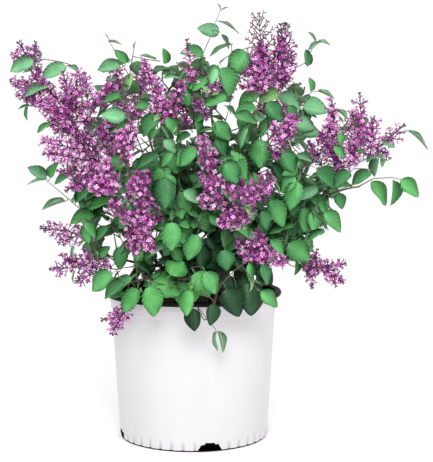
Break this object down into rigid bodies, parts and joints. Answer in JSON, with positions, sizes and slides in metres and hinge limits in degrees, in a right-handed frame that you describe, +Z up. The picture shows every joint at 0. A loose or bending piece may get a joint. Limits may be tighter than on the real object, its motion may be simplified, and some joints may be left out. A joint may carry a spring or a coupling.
{
  "type": "potted lilac shrub",
  "caption": "Bushy flowering lilac with slender canes, broad pointed leaves and purple flower spikes, in a plain round white nursery pot filled with potting mix.",
  "frame": {"origin": "centre of the pot's flat underside, on the pot's axis", "axes": "+Z up along the pot's axis, -Y towards the viewer of the plant's front, +X to that viewer's right"},
  "size_m": [0.6868, 0.5278, 0.6925],
  "materials": {
    "pot": "satin white",
    "potting_mix": "loose bark mix",
    "bark": "smooth young bark",
    "foliage": "soft leaves",
    "blossom_and_foliage": "soft leaves and blossom"
  },
  "bodies": {
    "root": {"pot": "pot", "potting_mix": "potting_mix", "root_crown": "bark", "cane_far_left": "bark", "mass_far_left": "blossom_and_foliage", "bough_left_bloom": "bark", "mass_left_bloom": "blossom_and_foliage", "bough_left_side": "bark", "mass_left_side": "blossom_and_foliage", "bough_low_left": "bark", "mass_low_left": "blossom_and_foliage", "cane_front_low": "bark", "mass_front_low": "foliage", "bough_front_left": "bark", "mass_front_left": "foliage", "cane_centre_left": "bark", "mass_centre_left": "blossom_and_foliage", "cane_top_left": "bark", "mass_top_left": "foliage", "bough_top_middle": "bark", "mass_top_middle": "blossom_and_foliage", "cane_top_right": "bark", "mass_top_right": "blossom_and_foliage", "bough_top_shoot": "bark", "mass_top_shoot": "foliage", "bough_centre_top": "bark", "mass_centre_top": "foliage", "cane_far_right": "bark", "mass_far_right": "foliage", "bough_right_bloom": "bark", "mass_right_bloom": "blossom_and_foliage", "bough_right_side": "bark", "mass_right_side": "foliage", "bough_upper_right": "bark", "mass_upper_right": "foliage", "cane_middle_right": "bark", "mass_middle_right": "foliage", "bough_low_right": "bark", "mass_low_right": "foliage", "cane_centre_bloom": "bark", "mass_centre_bloom": "blossom_and_foliage", "bough_front_right": "bark", "mass_front_right": "foliage", "bough_hanging": "bark", "mass_hanging": "foliage", "bough_front_middle": "bark", "mass_front_middle": "foliage", "cane_back_left": "bark", "mass_back_left": "foliage", "bough_back_left_low": "bark", "mass_back_left_low": "foliage", "cane_back_top": "bark", "mass_back_top": "foliage", "bough_back_middle": "bark", "mass_back_middle": "foliage", "cane_back_right": "bark", "mass_back_right": "foliage", "bough_back_right_low": "bark", "mass_back_right_low": "foliage"}
  },
  "joints": []
}
